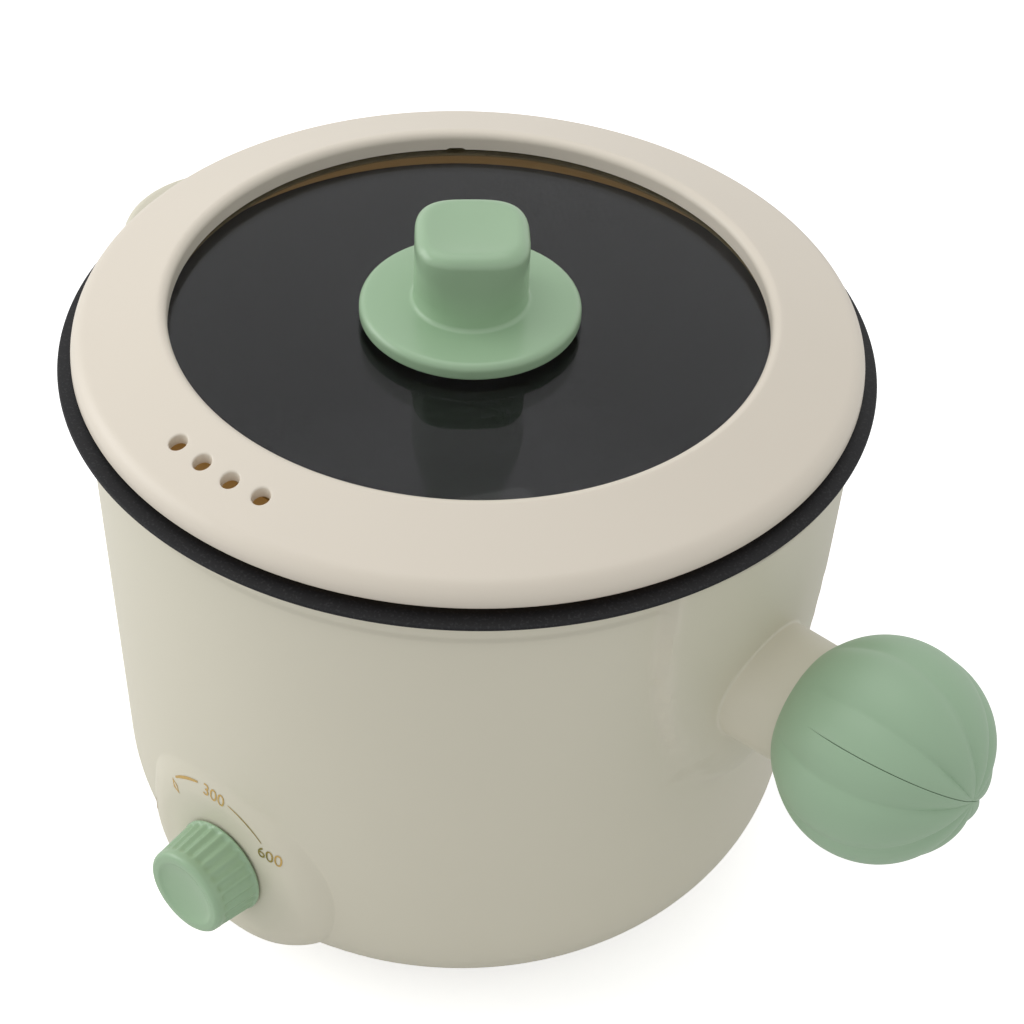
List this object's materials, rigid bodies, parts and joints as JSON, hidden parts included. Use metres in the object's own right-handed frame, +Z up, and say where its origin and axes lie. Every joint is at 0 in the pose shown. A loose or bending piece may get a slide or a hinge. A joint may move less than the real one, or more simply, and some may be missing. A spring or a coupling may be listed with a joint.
{
  "type": "electric hot pot",
  "caption": "Round electric hot pot with a lift-off glass lid in a moulded ring, ball handle on a short neck, helper ear, power dial on a boss and a power inlet.",
  "frame": {"origin": "on the pot's axis at table level, under the feet", "axes": "+Z up, +X towards the ball handle, -Y towards the dial, +Y towards the power inlet"},
  "size_m": [0.2654, 0.2041, 0.1888],
  "materials": {
    "casing_cream": "satin moulded plastic, cream",
    "lid_cream": "satin moulded plastic, warm cream",
    "sage_gloss": "glossy moulded plastic, sage green",
    "sage_satin": "satin moulded plastic, sage green",
    "nonstick_coating": "charcoal non-stick coating on aluminium, fine speckle",
    "lid_glass": "clear tempered glass",
    "amber_plastic": "heat-resistant moulded plastic, brown",
    "dark_plastic": "moulded plastic, black",
    "silicone": "translucent silicone",
    "rubber": "moulded rubber, dark grey",
    "cast_aluminium": "cast",
    "sheet_steel": "bright sheet steel",
    "zinc_steel": "zinc-plated steel",
    "brass": "bright pressed brass",
    "ceramic": "glazed ceramic and plastic body",
    "wire_sleeve": "silicone wire sleeve"
  },
  "bodies": {
    "casing": {"outer_casing": "casing_cream", "base_cover": "casing_cream", "rubber_feet": "rubber", "base_screws": "zinc_steel", "inner_pot": "nonstick_coating", "rim_gasket": "silicone", "heating_plate": "cast_aluminium", "heating_element": "sheet_steel", "heat_shield": "sheet_steel", "thermostat": "ceramic", "thermostat_screws": "zinc_steel", "thermal_fuse": "sheet_steel", "fuse_clip": "sheet_steel", "rotary_switch": "dark_plastic", "switch_tabs": "brass", "switch_nut": "zinc_steel", "power_inlet": "dark_plastic", "inlet_pins": "brass", "handle_core": "dark_plastic", "handle_bolt": "zinc_steel", "handle_ball_top": "sage_satin", "handle_ball_bottom": "sage_satin", "wire_live": "wire_sleeve", "wire_switched": "wire_sleeve", "wire_heater": "wire_sleeve", "wire_neutral": "wire_sleeve", "wire_earth": "wire_sleeve"},
    "lid": {"lid_ring": "lid_cream", "lid_keeper": "amber_plastic", "lid_glass": "lid_glass", "lid_seal": "silicone", "lid_screws": "zinc_steel", "lid_knob": "sage_gloss", "knob_gasket": "silicone", "knob_washer": "sheet_steel", "knob_screw": "zinc_steel"},
    "dial": {"dial": "sage_gloss", "switch_shaft": "zinc_steel"}
  },
  "joints": [
    {"name": "lid_lift", "type": "slide", "parent": "casing", "child": "lid", "axis": [0, 0, 1], "range_m": [0, 0.12]},
    {"name": "dial_turn", "type": "hinge", "parent": "casing", "child": "dial", "pos_m": [0, -0.0894, 0.0402], "axis": [0, 1, 0], "range_deg": [0, 111]}
  ]
}
